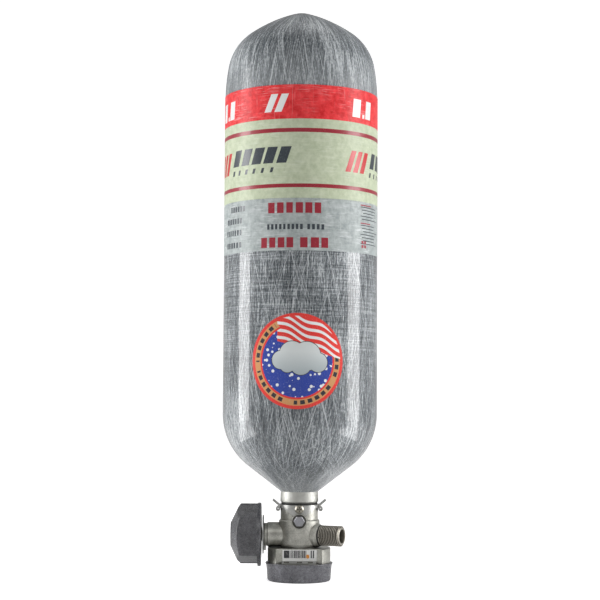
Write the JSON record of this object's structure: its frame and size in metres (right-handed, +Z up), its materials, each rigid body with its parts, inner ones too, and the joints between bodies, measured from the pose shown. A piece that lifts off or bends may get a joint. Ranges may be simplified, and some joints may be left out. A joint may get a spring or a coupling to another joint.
{
  "type": "breathing-air cylinder with valve",
  "caption": "Fibre-wrapped breathing-air cylinder with a neck-mounted shut-off valve, push-and-turn handwheel, threaded side outlet, burst disc and a pressure gauge in a rubber bumper.",
  "frame": {"origin": "centre of the rubber bumper's flat underside, on the cylinder's axis, where the part stands on a floor", "axes": "+Z up the cylinder's axis to its closed end, -Y to the front with the round decal, -X out of the handwheel"},
  "size_m": [0.1604, 0.1604, 0.592],
  "materials": {
    "wrap_resin": "gloss",
    "carbon_fibre": "satin",
    "bare_aluminium": "satin",
    "dark_resin": "matte",
    "red_label": "gloss",
    "cream_label": "gloss",
    "grey_label": "gloss",
    "decal": "gloss",
    "valve_metal": "satin",
    "steel": "satin",
    "nickel": "polished",
    "brass": "satin",
    "seal_rubber": "matte",
    "grip_rubber": "matte",
    "bumper_rubber": "satin",
    "white_plastic": "satin",
    "dial_face": "matte",
    "pointer_black": "matte",
    "clear_lens": "gloss",
    "sticker_film": "gloss",
    "sintered_bronze": "matte"
  },
  "bodies": {
    "cylinder": {"glass_overwrap": "wrap_resin", "carbon_overwrap": "carbon_fibre", "liner": "bare_aluminium", "pole_cap": "dark_resin", "red_band": "red_label", "cream_band": "cream_label", "data_label": "grey_label", "round_decal": "decal", "valve_body": "valve_metal", "neck_o_ring": "seal_rubber", "hanger_plate": "steel", "hanger_screw": "nickel", "dip_tube": "steel", "dip_tube_filter": "sintered_bronze", "burst_gasket": "seal_rubber", "burst_disc": "steel", "burst_disc_plug": "nickel", "outlet_fitting": "valve_metal", "outlet_o_ring": "seal_rubber", "outlet_filter": "sintered_bronze", "bonnet": "valve_metal", "stem_o_ring": "seal_rubber", "thrust_washer": "white_plastic", "ratchet_plate": "steel", "spring_washer": "steel", "gauge_housing": "valve_metal", "housing_screws": "steel", "housing_sticker": "sticker_film", "gauge_stem": "brass", "gauge_can": "bare_aluminium", "bourdon_tube": "brass", "gauge_dial": "dial_face", "lens_gasket": "seal_rubber", "gauge_lens": "clear_lens", "lens_ring": "steel", "bumper": "bumper_rubber", "bumper_clip": "steel"},
    "spindle": {"spindle": "steel", "handwheel_nut": "steel", "handwheel_spring": "steel"},
    "handwheel": {"handwheel_hub": "bare_aluminium", "handwheel_grip": "grip_rubber", "handwheel_cap": "grip_rubber"},
    "plug": {"valve_plug": "brass", "plug_insert": "white_plastic"},
    "pointer": {"pointer_shaft": "brass", "gauge_pointer": "pointer_black"}
  },
  "joints": [
    {"name": "spindle_turn", "type": "hinge", "parent": "cylinder", "child": "spindle", "pos_m": [0, 0, 0.0468], "axis": [-1, 0, 0], "range_deg": [0, 720]},
    {"name": "handwheel_push", "type": "slide", "parent": "spindle", "child": "handwheel", "axis": [1, 0, 0], "range_m": [0, 0.0025], "stiffness_N_per_m": 2000, "springref_m": -0.002, "deforming": ["handwheel_spring"]},
    {"name": "plug_travel", "type": "slide", "parent": "spindle", "child": "plug", "axis": [-1, 0, 0], "range_m": [0, 0.00301]},
    {"name": "pointer_turn", "type": "hinge", "parent": "cylinder", "child": "pointer", "pos_m": [0, 0, 0.0097], "axis": [0, 0, 1], "range_deg": [0, 270], "stiffness_Nm_per_rad": 0.0002}
  ],
  "couplings": [
    {"joint": "plug_travel", "follows": "spindle_turn", "m_per_rad": 0.00023873}
  ]
}
